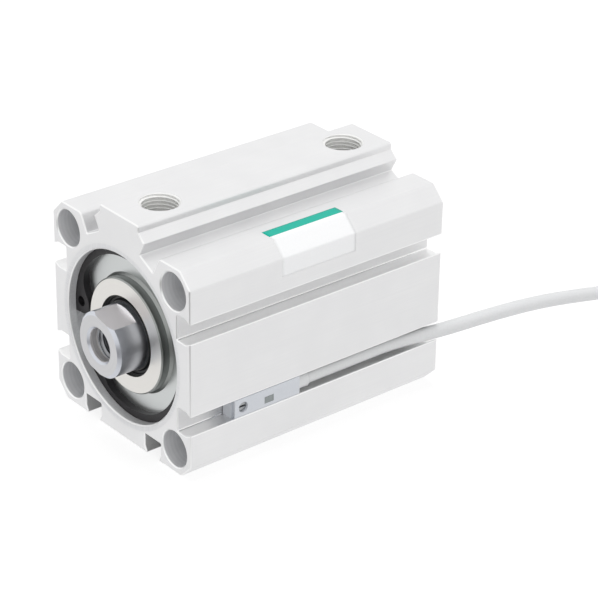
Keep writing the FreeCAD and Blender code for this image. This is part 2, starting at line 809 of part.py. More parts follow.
def cable_coil():
    """Outer shape of the wound turns."""
    round_off = cable_dia / 2
    corners = [
        V(coil_inner + round_off / 2, 0, coil_bottom), V(coil_outer - round_off / 2, 0, coil_bottom),
        V(coil_outer, 0, coil_bottom + round_off), V(coil_outer, 0, coil_top - round_off),
        V(coil_outer - round_off / 2, 0, coil_top), V(coil_inner + round_off / 2, 0, coil_top),
        V(coil_inner, 0, coil_top - round_off), V(coil_inner, 0, coil_bottom + round_off),
    ]
    coil = Part.Face(Part.makePolygon(corners + corners[:1])).revolve(V(0, 0, 0), V(0, 0, 1), 360)
    coil.translate(V(coil_x, coil_y, 0))
    return coil


def coil_tie():
    """Strap round the bundle of turns on the side away from the cylinder."""
    inner_low = coil_y + coil_inner - tie_gap
    inner_high = coil_y + coil_outer + tie_gap
    outer = box(
        (coil_x - tie_width / 2, inner_low - tie_thick, coil_bottom - tie_gap - tie_thick),
        (coil_x + tie_width / 2, inner_high + tie_thick, coil_top + tie_gap + tie_thick),
    )
    inner = box(
        (coil_x - tie_width / 2, inner_low, coil_bottom - tie_gap),
        (coil_x + tie_width / 2, inner_high, coil_top + tie_gap),
    )
    return outer.cut(inner)


def cable_tail():
    """End of the cable, which lies on the coil's turns."""
    return route_tube(tail_route, cable_dia, "tail")


def core_route(side):
    """Middle line of one core: straight out of the cable's end, then away from its neighbour."""
    along = (tail_route[-1] - tail_route[-2]).normalize()
    across = along.cross(V(0, 0, 1)).normalize() * side
    start = tail_route[-1] + across * core_offset
    bend = start + along * (core_len / 2)
    end = start + along * core_len + across * core_spread - V(0, 0, core_drop)
    return [start, bend, end]


def core(side):
    return route_tube(core_route(side), core_dia, "core")


def bare_strands():
    """Stripped copper ends of both cores."""
    ends = []
    for side in (-1, 1):
        start, bend, end = core_route(side)
        along = (end - bend).normalize()
        ends.append(Part.makeCylinder(strand_dia / 2, strand_len, end, along))
    return Part.makeCompound(ends)


def save(name, shape):
    """Write one piece, after a look at its validity and volume."""
    print(name, "solids", len(shape.Solids), "valid", shape.isValid(), "volume", round(shape.Volume, 1))
    shape.exportStep(os.path.join("parts", name + ".step"))


os.makedirs("parts", exist_ok=True)
pieces = {
    "cylinder_body": cylinder_body(),
    "rod_cover": rod_cover(),
    "rod_bush": rod_bush(),
    "rod_seal": rod_seal(),
    "rod_cover_o_ring": rod_cover_o_ring(),
    "rod_cover_snap_ring": snap_ring(),
    "head_cover": head_cover(),
    "head_cover_o_ring": head_cover_o_ring(),
    "piston_rod": piston_rod(),
    "piston_front": piston_front(),
    "piston_rear": piston_rear(),
    "magnet_ring": magnet_ring(),
    "piston_o_ring": piston_o_ring(),
    "front_bumper": front_bumper(),
    "rear_bumper": rear_bumper(),
    "piston_seal": piston_seal(),
    "wear_ring": wear_ring(),
    "switch_housing": switch_housing(),
    "switch_set_screw": switch_set_screw(),
    "switch_lens": switch_lens(),
    "switch_circuit_board": switch_circuit_board(),
    "switch_potting": switch_potting(),
    "cable_boot": cable_boot(),
    "switch_cable": switch_cable(),
    "cable_coil": cable_coil(),
    "coil_tie": coil_tie(),
    "cable_tail": cable_tail(),
    "core_brown": core(-1),
    "core_blue": core(1),
    "bare_strands": bare_strands(),
}
for piece_name, piece in pieces.items():
    save(piece_name, piece)
print("body length", round(body_len, 3), "front port", front_port_y, "rear port", rear_port_y)
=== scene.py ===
"""Looks of the compact pneumatic cylinder: finishes for its solids, threads, label, cable and tie.

Lengths are metres in the part's own frame: the rod axis is Y, the rod end faces -Y, +Z is up and
the origin lies on the axis in the plane of the front face.
"""
import json
import math

import bmesh
import bpy
import numpy as np
from mathutils import Matrix, Vector
from mathutils.geometry import delaunay_2d_cdt

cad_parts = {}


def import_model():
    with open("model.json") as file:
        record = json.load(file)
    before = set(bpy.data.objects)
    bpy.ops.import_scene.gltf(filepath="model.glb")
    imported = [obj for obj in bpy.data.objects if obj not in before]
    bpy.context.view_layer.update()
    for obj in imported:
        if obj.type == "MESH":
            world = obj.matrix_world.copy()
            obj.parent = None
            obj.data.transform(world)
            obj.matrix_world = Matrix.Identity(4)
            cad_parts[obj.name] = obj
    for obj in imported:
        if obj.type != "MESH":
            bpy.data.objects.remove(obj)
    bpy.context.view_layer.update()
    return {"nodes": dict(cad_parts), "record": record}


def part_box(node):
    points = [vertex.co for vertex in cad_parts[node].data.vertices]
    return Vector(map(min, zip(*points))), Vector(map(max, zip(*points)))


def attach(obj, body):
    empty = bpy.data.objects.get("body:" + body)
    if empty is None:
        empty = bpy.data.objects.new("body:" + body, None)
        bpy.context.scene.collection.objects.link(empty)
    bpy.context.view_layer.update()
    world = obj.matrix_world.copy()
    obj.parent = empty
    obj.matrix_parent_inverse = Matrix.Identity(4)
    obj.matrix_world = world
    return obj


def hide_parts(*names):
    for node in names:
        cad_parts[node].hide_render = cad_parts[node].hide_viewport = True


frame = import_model()
nodes = frame["nodes"]

MM = 0.001

# Camera, from the photograph's own vanishing points
CAMERA_AZIMUTH = 50.034
CAMERA_ELEVATION = 27.645
CAMERA_ROLL = 0.994
CAMERA_DISTANCE = 568.973 * MM
CAMERA_SIDE_STEP = 17.417 * MM
CAMERA_UP_STEP = 0.301 * MM
CAMERA_TARGET = Vector((0.0, 30.0 * MM, 0.0))
CAMERA_LENS = 146.03
CAMERA_SENSOR = 36.0

# Studio: floor, sky and lamps
FLOOR_HALF = 3.0
FLOOR_GLOW = 0.80                  # floor's own light as the camera sees it, under its shadows
FLOOR_TONE = 0.26                  # tone that takes those shadows
FLOOR_BOUNCE = 0.80                # tone with which the floor sheds light on the part
FLOOR_MIRRORED = 1.01              # floor as metal mirrors it
FRONT_RIGHT_DARK = 0.8             # share of that taken away towards the front right of the studio
DARK_TO_RIGHT = (10 * MM, 60 * MM)  # that share grows from none to all of it between these
DARK_TO_FRONT = (10 * MM, -40 * MM)
FLOOR_COVERED = 0.25               # floor as metal mirrors it in the shade under the body
COVERED_HALF = 15.5 * MM           # half the width of that shade
SKY_MIRRORED = 1.06
SKY_LIGHT = 0.60
LAMPS = {                          # place, width and power of each
    "key": ((-0.3, 0.2, 1.5), 0.9, 11.5),
    "fill": ((1.1, -0.5, 0.8), 1.0, 5.0),
}

# Body: sizes that the label, the threads and the finishes follow
BODY_HALF = 26.0 * MM
BODY_LENGTH = 74.5 * MM
CORNER_CHAMFER = 3.6 * MM
CORNER_ROUND = 0.8 * MM
RAIL_TOP = 31.0 * MM
PORT_PLACES = {"front_port_thread": 11.5 * MM, "rear_port_thread": 65.5 * MM}
BOLT_PITCH_HALF = 20.0 * MM
BOLT_HEAD_RADIUS = 4.55 * MM       # walls of the bolt holes lie within this of their axes
BORE_MOUTH_RADIUS = 22.4 * MM      # and those of the bore and its ring groove within this of its own
FLANGE_DEPTH = 3.0 * MM            # between the rod cover's boss face and its flange

# Straight slots, out from the body's axis planes and sideways from the middle of a slot
SLOT_MIDDLE = 11.65 * MM
SLOT_MOUTH_HALF = 2.46 * MM
SLOT_MOUTH_REACH = 0.24 * MM       # the round along a mouth lies within this of the mouth's corner
SLOT_FLOOR = 21.2 * MM
SLOT_HALF = 3.1 * MM               # half the width under the lips
SLOT_CORNER_REACH = 0.32 * MM      # the round along a floor lies within this of the floor's corner
SLOT_WALL_OUT = (21.32 * MM, 25.88 * MM)  # the walls lie between these outwards, and these sideways
SLOT_WALL_BESIDE = (2.40 * MM, 3.12 * MM)
SLOTS_BELOW = 18.0 * MM            # the straight slots lie below this height

# Rod end
ROD_END = -6.2 * MM
ROD_HOLE_RADIUS = 4.1 * MM         # walls of the hole in the rod's end lie within this of its axis
ROD_MILLED = (4.72 * MM, 7.98 * MM)  # the wrench flats and their shoulders lie between these radii
ROD_SHOULDER_FROM = -3.0 * MM      # the shoulders lie behind this

# Round along the outline of the body's two ends
BROKEN_EDGE = 0.35 * MM
PAINTED_HIGHLIGHT_DEPTHS = (0.075 * BROKEN_EDGE, 0.975 * BROKEN_EDGE)  # the round is painted pale between these, as a highlight
ROUND_ROWS = 3
SMALL_SIDE = 0.035 * MM            # outline sides shorter than this belong to smaller rounds
SMALL_ROUND_SIDES = 24             # sides that such a round has at most
UPRIGHT_LIMIT = 0.1                # walls along Y lean by less than this
STRAIGHT_LIMIT = 0.01              # sides that turn by less than this run straight on
MERGE_REACH = 0.001 * MM
FILL_INSIDE = 1                    # the fill is triangles within the outline, over the holes too
SHARP_ANGLE = math.radians(35)

# Marks of making. The real ones are mostly finer than a pixel of the render, so these and the grain and
# feed of each finish are drawn as coarse as they need to show
DIE_LINE = 0.35 * MM
DIE_LINE_LENGTH = 40 * MM
ETCHED_CLOUD = 9 * MM
DRILL_MARK = 0.5 * MM
WINDOW_WAVE = 0.6 * MM
FILM_GRAIN = 0.5 * MM
FINE_RELIEF = 0.02 * MM            # height of the marks on metal and film
NOISE_RANGE = {"From Min": 0.25, "From Max": 0.75}  # where a noise mostly lies
FEED_GLOSS = 0.05                  # how far roughness goes up and down over the rings of a lathe
GRAIN_GLOSS = 0.06                 # and over a moulded grain

# Roughness of the cut and drawn surfaces, and their shares of bare metal, lower where a cut scatters light
SATIN_ROUGHNESS = (0.34, 0.44)
DRILLED_ROUGHNESS = 0.42
DIE_ROUND_ROUGHNESS = 0.14
MILLED_ROUGHNESS = 0.65
BODY_METAL = 0.9
DRILLED_METAL = 0.4
ROD_HOLE_METAL = 0.35

# How far a turned surface faces along Y: walls below the first two, with a blend between them, and the
# rod's flats below the third
WALL_FACING = (0.75, 0.9)
FLAT_FACING = 0.5

# Tapped holes: largest and smallest radius of the thread, pitch and the depths it runs between
ROD_THREAD = dict(major=3.96 * MM, minor=3.32 * MM, pitch=1.25 * MM, start=2.5 * MM, end=12.9 * MM)
PORT_THREAD = dict(major=4.83 * MM, minor=4.25 * MM, pitch=0.907 * MM, start=0.135 * MM, end=7.4 * MM)
THREAD_SEAT = 0.09 * MM            # the thread's outside lies this deep in the hole's wall
THREAD_AROUND = 96
THREAD_PER_PITCH = 16
THREAD_CREST = 0.25                # share of the pitch that is flat at the crest
THREAD_ROOT = 0.125                # share of the pitch that is flat at the root

# Label, wrapped over the body's upper right corner
LABEL_FRONT = 26.0 * MM
LABEL_REAR = 47.5 * MM
LABEL_TOP_EDGE = 18.4 * MM         # across the top, from the axis plane
LABEL_LOW_EDGE = 17.85 * MM        # down the side, above the axis
LABEL_BAND_EDGE = 21.3 * MM        # end of the coloured band, across the top
LABEL_LIFT = 0.02 * MM
LABEL_THICK = 0.10 * MM
LABEL_ROWS = 24
LABEL_FLAT_POINTS = 8
LABEL_ARC_POINTS = 9

# Cable. Its route from the switch to the coil, its turns and its loose end are in mm
CABLE_DIAMETER = 3.4 * MM
CABLE_AROUND = 5                   # fineness of its section
CABLE_ALONG = 6                    # steps between two points of its line
CABLE_ORDER = 3
CABLE_ROUTE = [
    (23.80, 35.0, -11.65),
    (23.80, 49.0, -11.65),
    (23.70, 62.5, -11.70),
    (26.30, 75.5, -11.77),
    (27.10, 91.5, -12.30),
    (28.00, 107.5, -13.53),
    (29.30, 124.0, -16.20),
    (30.20, 141.0, -19.60),
    (30.70, 157.0, -22.00),
    (30.90, 172.0, -23.20),
    (30.90, 195.0, -23.40),
]
COIL_TURNS = 6.5
COIL_OUTER_RADIUS = 25.575
COIL_PITCH = 3.45
COIL_POINTS_PER_TURN = 24
COIL_STEP_TURNS = 0.2              # part of a turn over which the cable moves over to the next row
COIL_STEPS_IN = (0.75, 1.75, 2.75)
COIL_STEPS_OUT = (4.35, 5.35)
COIL_CLIMBS = ((3.55, 3.4), (6.27, 3.45))
TAIL_STEPS = [                     # from the coil's middle: sideways and along
    (-19.9, -8.4),
    (-13.5, -15.0),
    (-5.2, -18.3),
    (3.2, -18.3),
    (9.9, -15.8),
]

# Tie round the coil
TIE_WIDTH = 2.5 * MM
TIE_THICK = 0.8 * MM
TIE_ROUND = 2.2 * MM
TIE_AROUND = 64


def linear(hex_colour):
    """Linear colour of an sRGB hex value: each channel is undone by the sRGB curve."""
    channels = np.array([int(hex_colour[i:i + 2], 16) for i in (1, 3, 5)]) / 255
    bright = ((channels + 0.055) / 1.055) ** 2.4
    return (*np.where(channels <= 0.04045, channels / 12.92, bright), 1.0)


def add(tree, kind, inputs=None, **settings):
    """Adds one node with its settings.

    Its inputs are values, sockets or other nodes, which give the first of their outputs in use.
    """
    made = tree.nodes.new(kind)
    for name, value in settings.items():
        setattr(made, name, value)
    for name, value in (inputs or {}).items():
        if isinstance(value, bpy.types.Node):
            value = next(socket for socket in value.outputs if socket.enabled)
        if isinstance(value, bpy.types.NodeSocket):
            tree.links.new(value, made.inputs[name])
        else:
            made.inputs[name].default_value = value
    return made


def span(low, high):
    """Middle and half width of a span, as the second and third input of a comparing node."""
    return {1: (low + high) / 2, 2: (high - low) / 2}


def new_material(name):
    """An empty node material, its tree and its texture coordinates."""
    material = bpy.data.materials.new(name)
    material.use_nodes = True
    tree = material.node_tree
    tree.nodes.clear()
    return material, tree, add(tree, "ShaderNodeTexCoord")


def axis_distance(tree, split, spread=0.0):
    """Distance from an axis along Y: the rod's axis, or the four bolt axes when a spread is given.

    The bolt axes lie at plus and minus the spread in X and Z, so absolute values fold them into one.
    """
    flat = add(tree, "ShaderNodeCombineXYZ", {"X": split.outputs["X"], "Y": split.outputs["Z"]})
    folded = add(tree, "ShaderNodeVectorMath", {0: flat}, operation="ABSOLUTE")
    return add(tree, "ShaderNodeVectorMath", {0: folded, 1: (spread, spread, 0)}, operation="DISTANCE")


def slot_masks(tree, split, from_middle):
    """Masks of the straight slots: all their parts painted pale, and the rounds along their floors alone.

    The larger and the smaller of X and Z, without their signs, fold all four sides into one. Taken
    from the slot's middle, the smaller one folds the two sides of a slot into one as well. Painted pale
    are the rounds along the mouths and the floors, as highlights, and the walls under the lips, as light.
    """
    x = add(tree, "ShaderNodeMath", {0: split.outputs["X"]}, operation="ABSOLUTE")
    z = add(tree, "ShaderNodeMath", {0: split.outputs["Z"]}, operation="ABSOLUTE")
    out = add(tree, "ShaderNodeMath", {0: x, 1: z}, operation="MAXIMUM")
    across = add(tree, "ShaderNodeMath", {0: x, 1: z}, operation="MINIMUM")
    from_slot = add(tree, "ShaderNodeMath", {0: across, 1: SLOT_MIDDLE}, operation="SUBTRACT")
    beside = add(tree, "ShaderNodeMath", {0: from_slot}, operation="ABSOLUTE")
    spot = add(tree, "ShaderNodeCombineXYZ", {"X": out, "Y": beside})
    from_mouth = add(tree, "ShaderNodeVectorMath", {
        0: spot, 1: (BODY_HALF, SLOT_MOUTH_HALF, 0)}, operation="DISTANCE")
    from_corner = add(tree, "ShaderNodeVectorMath", {
        0: spot, 1: (SLOT_FLOOR, SLOT_HALF, 0)}, operation="DISTANCE")
    at_mouth = add(tree, "ShaderNodeMath", {0: from_mouth, 1: SLOT_MOUTH_REACH}, operation="LESS_THAN")
    at_corner = add(tree, "ShaderNodeMath", {0: from_corner, 1: SLOT_CORNER_REACH}, operation="LESS_THAN")
    deep = add(tree, "ShaderNodeMath", {0: out, **span(*SLOT_WALL_OUT)}, operation="COMPARE")
    wide = add(tree, "ShaderNodeMath", {0: beside, **span(*SLOT_WALL_BESIDE)}, operation="COMPARE")
    on_wall = add(tree, "ShaderNodeMath", {0: deep, 1: wide}, operation="MULTIPLY")
    # The pale mask: painted highlight on the rounds and painted light on the walls under the lips
    at_round = add(tree, "ShaderNodeMath", {0: at_mouth, 1: at_corner}, operation="MAXIMUM")
    pale = add(tree, "ShaderNodeMath", {0: at_round, 1: on_wall}, operation="MAXIMUM")
    within = add(tree, "ShaderNodeMath", {
        0: from_middle, 1: BODY_LENGTH / 2 - BROKEN_EDGE}, operation="LESS_THAN")
    below = add(tree, "ShaderNodeMath", {0: split.outputs["Z"], 1: SLOTS_BELOW}, operation="LESS_THAN")
    among = add(tree, "ShaderNodeMath", {0: within, 1: below}, operation="MULTIPLY")
    return [add(tree, "ShaderNodeMath", {0: mask, 1: among}, operation="MULTIPLY")
            for mask in (pale, at_corner)]


def anodised_aluminium():
    """Extruded aluminium, etched matt and clear anodised: pale and satin, with faint lines along the die.

    The bolt holes and the bore are machined, so their walls show fine rings. The broken edges of the
    cut ends and the rounds along the slots' mouths and floors are painted paler as highlights, the walls
    under the slots' lips are painted paler as light, and the rounds along the floors are glossier.
    """
    material, tree, place = new_material("anodised_aluminium")
    split = add(tree, "ShaderNodeSeparateXYZ", {"Vector": place.outputs["Object"]})
    along = add(tree, "ShaderNodeMapping", {
        "Vector": place.outputs["Object"], "Scale": (1 / DIE_LINE, 1 / DIE_LINE_LENGTH, 1 / DIE_LINE)})
    lines = add(tree, "ShaderNodeTexNoise", {"Vector": along, "Scale": 1.0, "Detail": 3.0, "Roughness": 0.6})
    clouds = add(tree, "ShaderNodeTexNoise", {
        "Vector": place.outputs["Object"], "Scale": 1 / ETCHED_CLOUD, "Detail": 2.0, "Roughness": 0.5})
    patchy = add(tree, "ShaderNodeMath", {0: clouds, 1: lines, 2: 0.1}, operation="MULTIPLY_ADD")
    tone = add(tree, "ShaderNodeMix", {
        "Factor": patchy, "A": linear("#e3e3e4"), "B": linear("#f1f1f1")}, data_type="RGBA")
    satin = add(tree, "ShaderNodeMapRange", {
        "Value": lines, **NOISE_RANGE, "To Min": SATIN_ROUGHNESS[0], "To Max": SATIN_ROUGHNESS[1]})

    from_bolt = axis_distance(tree, split, BOLT_PITCH_HALF)
    from_axis = axis_distance(tree, split)
    in_bolt_hole = add(tree, "ShaderNodeMath", {0: from_bolt, 1: BOLT_HEAD_RADIUS}, operation="LESS_THAN")
    in_bore = add(tree, "ShaderNodeMath", {0: from_axis, 1: BORE_MOUTH_RADIUS}, operation="LESS_THAN")
    in_hole = add(tree, "ShaderNodeMath", {0: in_bolt_hole, 1: in_bore}, operation="MAXIMUM")
    ring = add(tree, "ShaderNodeCombineXYZ", {"X": from_bolt, "Y": split.outputs["Y"]})
    rings = add(tree, "ShaderNodeTexNoise", {
        "Vector": ring, "Scale": 1 / DRILL_MARK, "Detail": 2.0, "Roughness": 0.6})
    drilled = add(tree, "ShaderNodeMix", {
        "Factor": rings, "A": linear("#d3d4d6"), "B": linear("#f2f2f3")}, data_type="RGBA")
    walls = add(tree, "ShaderNodeMix", {"Factor": in_hole, "A": tone, "B": drilled}, data_type="RGBA")

    past_middle = add(tree, "ShaderNodeMath", {
        0: split.outputs["Y"], 1: BODY_LENGTH / 2}, operation="SUBTRACT")
    from_middle = add(tree, "ShaderNodeMath", {0: past_middle}, operation="ABSOLUTE")
    # Painted highlight: the rounds along the broken edges of the cut ends
    near, far = PAINTED_HIGHLIGHT_DEPTHS
    cut_end_highlight = add(tree, "ShaderNodeMath", {
        0: from_middle, **span(BODY_LENGTH / 2 - far, BODY_LENGTH / 2 - near)}, operation="COMPARE")
    painted_light_in_slot, at_corner = slot_masks(tree, split, from_middle)
    pale = add(tree, "ShaderNodeMath", {0: cut_end_highlight, 1: painted_light_in_slot}, operation="MAXIMUM")
    # Painted highlight and painted light: the cut ends' rounds, the slots' rounds and the walls under the
    # lips take this pale tone
    colour = add(tree, "ShaderNodeMix", {
        "Factor": pale, "A": walls, "B": linear("#f8f8f8")}, data_type="RGBA")
    dull = add(tree, "ShaderNodeMix", {"Factor": in_hole, "A": satin, "B": DRILLED_ROUGHNESS})
    rough = add(tree, "ShaderNodeMix", {"Factor": at_corner, "A": dull, "B": DIE_ROUND_ROUGHNESS})
    bare = add(tree, "ShaderNodeMapRange", {"Value": in_hole, "To Min": BODY_METAL, "To Max": DRILLED_METAL})
    bump = add(tree, "ShaderNodeBump", {"Height": lines, "Strength": 0.06, "Distance": FINE_RELIEF})
    shader = add(tree, "ShaderNodeBsdfPrincipled", {
        "Base Color": colour, "Roughness": rough, "Normal": bump, "Metallic": bare})
    add(tree, "ShaderNodeOutputMaterial", {"Surface": shader})
    return material


def rod_end_cuts(tree, radius, depth, facing_y, rings, turned, gloss):
    """Colour, roughness and share of bare metal on the rod, with its drilled hole and its wrench flats.

    The hole's wall is duller and shows its rings more. The milled flats and their shoulders are matt,
    and the shoulders are painted white as a highlight.
    """
    outside = add(tree, "ShaderNodeMath", {0: radius, 1: ROD_HOLE_RADIUS}, operation="GREATER_THAN")
    bare = add(tree, "ShaderNodeMapRange", {"Value": outside, "To Min": ROD_HOLE_METAL})
    strong = add(tree, "ShaderNodeMapRange", {"Value": rings, "From Min": 0.35, "From Max": 0.65})
    drilled = add(tree, "ShaderNodeMix", {
        "Factor": strong, "A": linear("#aeacae"), "B": linear("#f4f2f1")}, data_type="RGBA")
    unmilled = add(tree, "ShaderNodeMix", {"Factor": outside, "A": drilled, "B": turned}, data_type="RGBA")

    between = add(tree, "ShaderNodeMath", {0: radius, **span(*ROD_MILLED)}, operation="COMPARE")
    on_flat = add(tree, "ShaderNodeMath", {0: facing_y, 1: FLAT_FACING}, operation="LESS_THAN")
    behind = add(tree, "ShaderNodeMath", {0: depth, 1: ROD_SHOULDER_FROM}, operation="GREATER_THAN")
    either = add(tree, "ShaderNodeMath", {0: on_flat, 1: behind}, operation="MAXIMUM")
    milled = add(tree, "ShaderNodeMath", {0: between, 1: either}, operation="MULTIPLY")
    # The shoulders are painted white as a highlight, the flats a light grey
    cut = add(tree, "ShaderNodeMix", {
        "Factor": on_flat, "A": linear("#ffffff"), "B": linear("#e6e4e6")}, data_type="RGBA")
    colour = add(tree, "ShaderNodeMix", {"Factor": milled, "A": unmilled, "B": cut}, data_type="RGBA")
    rough = add(tree, "ShaderNodeMix", {"Factor": milled, "A": gloss, "B": MILLED_ROUGHNESS})
    return colour, rough, bare


def turned_metal(name, dark, pale, wall, roughness, feed, flange=None, rod_end=False):
    """Metal faced on a lathe: its tone and gloss change in fine rings about the Y axis.

    Walls along the axis take a tone of their own. A flange tone is painted shade: it tints the faces
    that lie as deep as the cover's flange or deeper cooler and a little darker.
    """
    material, tree, place = new_material(name)
    split = add(tree, "ShaderNodeSeparateXYZ", {"Vector": place.outputs["Object"]})
    radius = axis_distance(tree, split)
    depth = split.outputs["Y"]
    ring = add(tree, "ShaderNodeCombineXYZ", {"X": radius, "Y": depth})
    rings = add(tree, "ShaderNodeTexNoise", {
        "Vector": ring, "Scale": 1 / feed, "Detail": 2.0, "Roughness": 0.6})
    faced = add(tree, "ShaderNodeMix", {
        "Factor": rings, "A": linear(dark), "B": linear(pale)}, data_type="RGBA")
    # Painted shade: faces as deep as the flange or deeper are tinted cooler and a little darker
    if flange:
        sunk = add(tree, "ShaderNodeMath", {0: depth, 1: FLANGE_DEPTH}, operation="GREATER_THAN")
        faced = add(tree, "ShaderNodeMix", {
            "Factor": sunk, "A": faced, "B": linear(flange)}, data_type="RGBA", blend_type="MULTIPLY")
    normal = add(tree, "ShaderNodeSeparateXYZ", {"Vector": place.outputs["Normal"]})
    facing_y = add(tree, "ShaderNodeMath", {0: normal.outputs["Y"]}, operation="ABSOLUTE")
    on_wall = add(tree, "ShaderNodeMapRange", {
        "Value": facing_y, "From Min": WALL_FACING[0], "From Max": WALL_FACING[1],
        "To Min": 1.0, "To Max": 0.0})
    colour = add(tree, "ShaderNodeMix", {
        "Factor": on_wall, "A": faced, "B": linear(wall)}, data_type="RGBA")
    rough = add(tree, "ShaderNodeMapRange", {
        "Value": rings, **NOISE_RANGE, "To Min": roughness - FEED_GLOSS, "To Max": roughness + FEED_GLOSS})
    bump = add(tree, "ShaderNodeBump", {"Height": rings, "Strength": 0.08, "Distance": FINE_RELIEF})
    bare = 1.0
    if rod_end:
        colour, rough, bare = rod_end_cuts(tree, radius, depth, facing_y, rings, colour, rough)
    shader = add(tree, "ShaderNodeBsdfPrincipled", {
        "Base Color": colour, "Roughness": rough, "Normal": bump, "Metallic": bare})
    add(tree, "ShaderNodeOutputMaterial", {"Surface": shader})
    return material


def grained(name, dark, pale, grain, roughness, relief, metallic=0.0):
    """Moulded, coated or cast surface: a fine even grain in its tone, gloss and relief."""
    material, tree, place = new_material(name)
    noise = add(tree, "ShaderNodeTexNoise", {
        "Vector": place.outputs["Object"], "Scale": 1 / grain, "Detail": 3.0, "Roughness": 0.55})
    tone = add(tree, "ShaderNodeMix", {
        "Factor": noise, "A": linear(dark), "B": linear(pale)}, data_type="RGBA")
    rough = add(tree, "ShaderNodeMapRange", {
        "Value": noise, **NOISE_RANGE, "To Min": roughness - GRAIN_GLOSS, "To Max": roughness + GRAIN_GLOSS})
    bump = add(tree, "ShaderNodeBump", {"Height": noise, "Strength": relief, "Distance": grain / 4})
    shader = add(tree, "ShaderNodeBsdfPrincipled", {
        "Base Color": tone, "Roughness": rough, "Normal": bump, "Metallic": metallic})
    add(tree, "ShaderNodeOutputMaterial", {"Surface": shader})
    return material


def clear_acrylic():
    """Smoke-tinted window over the lamp: glossy, partly see-through, with a faint moulded unevenness."""
    material, tree, place = new_material("clear_acrylic")
    noise = add(tree, "ShaderNodeTexNoise", {
        "Vector": place.outputs["Object"], "Scale": 1 / WINDOW_WAVE, "Detail": 1.0})
    tone = add(tree, "ShaderNodeMix", {
        "Factor": noise, "A": linear("#a3abab"), "B": linear("#b7bebe")}, data_type="RGBA")
    shader = add(tree, "ShaderNodeBsdfPrincipled", {
        "Base Color": tone, "Roughness": 0.12, "IOR": 1.49, "Transmission Weight": 0.35})
    add(tree, "ShaderNodeOutputMaterial", {"Surface": shader})
    return material


def printed_vinyl():
    """White label film with a coloured band along its top edge; matt print with a faint film texture."""
    material, tree, place = new_material("printed_vinyl")
    split = add(tree, "ShaderNodeSeparateXYZ", {"Vector": place.outputs["Object"]})
    band = add(tree, "ShaderNodeMath", {0: split.outputs["X"], 1: LABEL_BAND_EDGE}, operation="LESS_THAN")
    fibre = add(tree, "ShaderNodeTexNoise", {
        "Vector": place.outputs["Object"], "Scale": 1 / FILM_GRAIN, "Detail": 2.0})
    paper = add(tree, "ShaderNodeMix", {
        "Factor": fibre, "A": linear("#f1f2f3"), "B": linear("#f7f7f8")}, data_type="RGBA")
    ink = add(tree, "ShaderNodeMix", {
        "Factor": fibre, "A": linear("#04a893"), "B": linear("#10b39e")}, data_type="RGBA")
    tone = add(tree, "ShaderNodeMix", {"Factor": band, "A": paper, "B": ink}, data_type="RGBA")
    bump = add(tree, "ShaderNodeBump", {"Height": fibre, "Strength": 0.04, "Distance": FINE_RELIEF})
    shader = add(tree, "ShaderNodeBsdfPrincipled", {
        "Base Color": tone, "Roughness": 0.38, "Specular IOR Level": 0.2, "Normal": bump})
    add(tree, "ShaderNodeOutputMaterial", {"Surface": shader})
    return material


